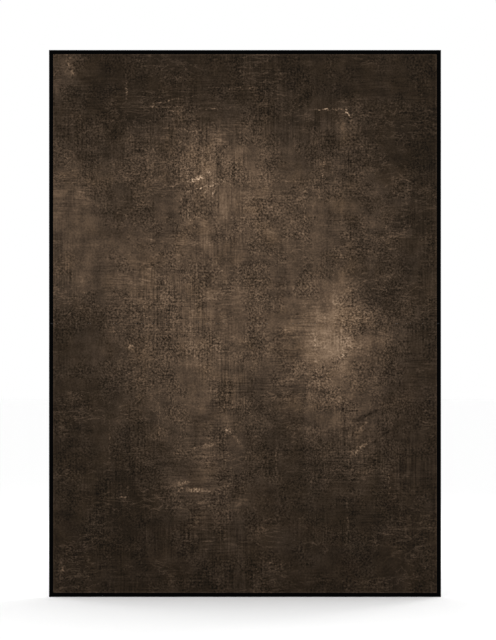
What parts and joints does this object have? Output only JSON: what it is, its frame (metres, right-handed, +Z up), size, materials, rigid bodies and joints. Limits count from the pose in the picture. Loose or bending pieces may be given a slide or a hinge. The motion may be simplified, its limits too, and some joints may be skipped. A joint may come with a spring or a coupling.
{
  "type": "folding backdrop panel",
  "caption": "Tall flat studio backdrop: dark printed cloth with a black webbing border on a folding square-tube frame that breaks at mid-height and at the middle of its rails.",
  "frame": {"origin": "on the floor under the middle of the panel's width and depth", "axes": "+Z up the height of the open panel, +X to the right of someone facing its printed front, +Y towards its back"},
  "size_m": [1.505, 0.0356, 2.1],
  "materials": {
    "black_anodised_tube": "satin",
    "black_nylon": "matte",
    "steel": "satin",
    "black_steel_hinge": "satin",
    "bright_magnet": "polished",
    "printed_cloth": "matte",
    "border_webbing": "matte"
  },
  "bodies": {
    "upper_left_stile": {"upper_left_stile_tube": "black_anodised_tube", "upper_left_stile_end_cap": "black_nylon", "upper_left_stile_peg_cap": "black_nylon", "left_joint_magnet": "bright_magnet", "upper_left_hinge_leaf": "black_steel_hinge", "upper_left_stile_corner_fork": "black_nylon", "top_left_corner_pin": "steel", "upper_left_side_border": "border_webbing", "left_hinge_pin": "steel", "cloth_upper": "printed_cloth", "top_border": "border_webbing"},
    "top_left_rail": {"top_left_rail_tube": "black_anodised_tube", "top_left_rail_end_tang": "black_nylon", "top_left_rail_knuckle": "black_nylon", "top_knuckle_bolt": "steel"},
    "top_lever": {"top_clamp_lever": "black_nylon"},
    "upper_right_stile": {"upper_right_stile_tube": "black_anodised_tube", "upper_right_stile_end_cap": "black_nylon", "upper_right_stile_peg_cap": "black_nylon", "right_joint_magnet": "bright_magnet", "upper_right_hinge_leaf": "black_steel_hinge", "upper_right_stile_corner_fork": "black_nylon", "top_right_corner_pin": "steel", "upper_right_side_border": "border_webbing", "right_hinge_pin": "steel"},
    "top_right_rail": {"top_right_rail_tube": "black_anodised_tube", "top_right_rail_end_tang": "black_nylon", "top_right_rail_knuckle": "black_nylon"},
    "lower_left_stile": {"lower_left_stile_tube": "black_anodised_tube", "lower_left_stile_end_cap": "black_nylon", "lower_left_stile_socket_cap": "black_nylon", "left_joint_striker": "steel", "lower_left_hinge_leaf": "black_steel_hinge", "lower_left_stile_corner_fork": "black_nylon", "bottom_left_corner_pin": "steel", "lower_left_side_border": "border_webbing", "cloth_lower": "printed_cloth", "bottom_border": "border_webbing"},
    "bottom_left_rail": {"bottom_left_rail_tube": "black_anodised_tube", "bottom_left_rail_end_tang": "black_nylon", "bottom_left_rail_knuckle": "black_nylon", "bottom_knuckle_bolt": "steel"},
    "bottom_lever": {"bottom_clamp_lever": "black_nylon"},
    "lower_right_stile": {"lower_right_stile_tube": "black_anodised_tube", "lower_right_stile_end_cap": "black_nylon", "lower_right_stile_socket_cap": "black_nylon", "right_joint_striker": "steel", "lower_right_hinge_leaf": "black_steel_hinge", "lower_right_stile_corner_fork": "black_nylon", "bottom_right_corner_pin": "steel", "lower_right_side_border": "border_webbing"},
    "bottom_right_rail": {"bottom_right_rail_tube": "black_anodised_tube", "bottom_right_rail_end_tang": "black_nylon", "bottom_right_rail_knuckle": "black_nylon"}
  },
  "joints": [
    {"name": "width_fold", "type": "hinge", "parent": "upper_left_stile", "child": "top_left_rail", "pos_m": [-0.7185, -0.00225, 2.066], "axis": [0, 1, 0], "range_deg": [0, 90], "deforming": ["cloth_upper", "cloth_lower", "top_border", "bottom_border"]},
    {"name": "top_middle_fold", "type": "hinge", "parent": "top_left_rail", "child": "top_right_rail", "pos_m": [0, -0.00225, 2.094], "axis": [0, 1, 0], "range_deg": [-180, 0]},
    {"name": "upper_right_corner", "type": "hinge", "parent": "top_right_rail", "child": "upper_right_stile", "pos_m": [0.7185, -0.00225, 2.066], "axis": [0, 1, 0], "range_deg": [0, 90]},
    {"name": "height_fold", "type": "hinge", "parent": "upper_left_stile", "child": "lower_left_stile", "pos_m": [-0.7413, -0.01535, 1.05], "axis": [-1, 0, 0], "range_deg": [0, 180]},
    {"name": "right_height_fold", "type": "hinge", "parent": "upper_right_stile", "child": "lower_right_stile", "pos_m": [0.7413, -0.01535, 1.05], "axis": [-1, 0, 0], "range_deg": [0, 180]},
    {"name": "lower_left_corner", "type": "hinge", "parent": "lower_left_stile", "child": "bottom_left_rail", "pos_m": [-0.7185, -0.00225, 0.034], "axis": [0, 1, 0], "range_deg": [-90, 0]},
    {"name": "bottom_middle_fold", "type": "hinge", "parent": "bottom_left_rail", "child": "bottom_right_rail", "pos_m": [0, -0.00225, 0.006], "axis": [0, 1, 0], "range_deg": [0, 180]},
    {"name": "top_lever_swing", "type": "hinge", "parent": "top_left_rail", "child": "top_lever", "pos_m": [0, 0.01275, 2.094], "axis": [0, -1, 0], "range_deg": [0, 90]},
    {"name": "bottom_lever_swing", "type": "hinge", "parent": "bottom_left_rail", "child": "bottom_lever", "pos_m": [0, 0.01275, 0.006], "axis": [0, 1, 0], "range_deg": [0, 90]}
  ],
  "couplings": [
    {"joint": "top_middle_fold", "follows": "width_fold", "ratio": -2},
    {"joint": "upper_right_corner", "follows": "width_fold", "ratio": 1},
    {"joint": "lower_left_corner", "follows": "width_fold", "ratio": -1},
    {"joint": "bottom_middle_fold", "follows": "width_fold", "ratio": 2},
    {"joint": "right_height_fold", "follows": "height_fold", "ratio": 1}
  ]
}
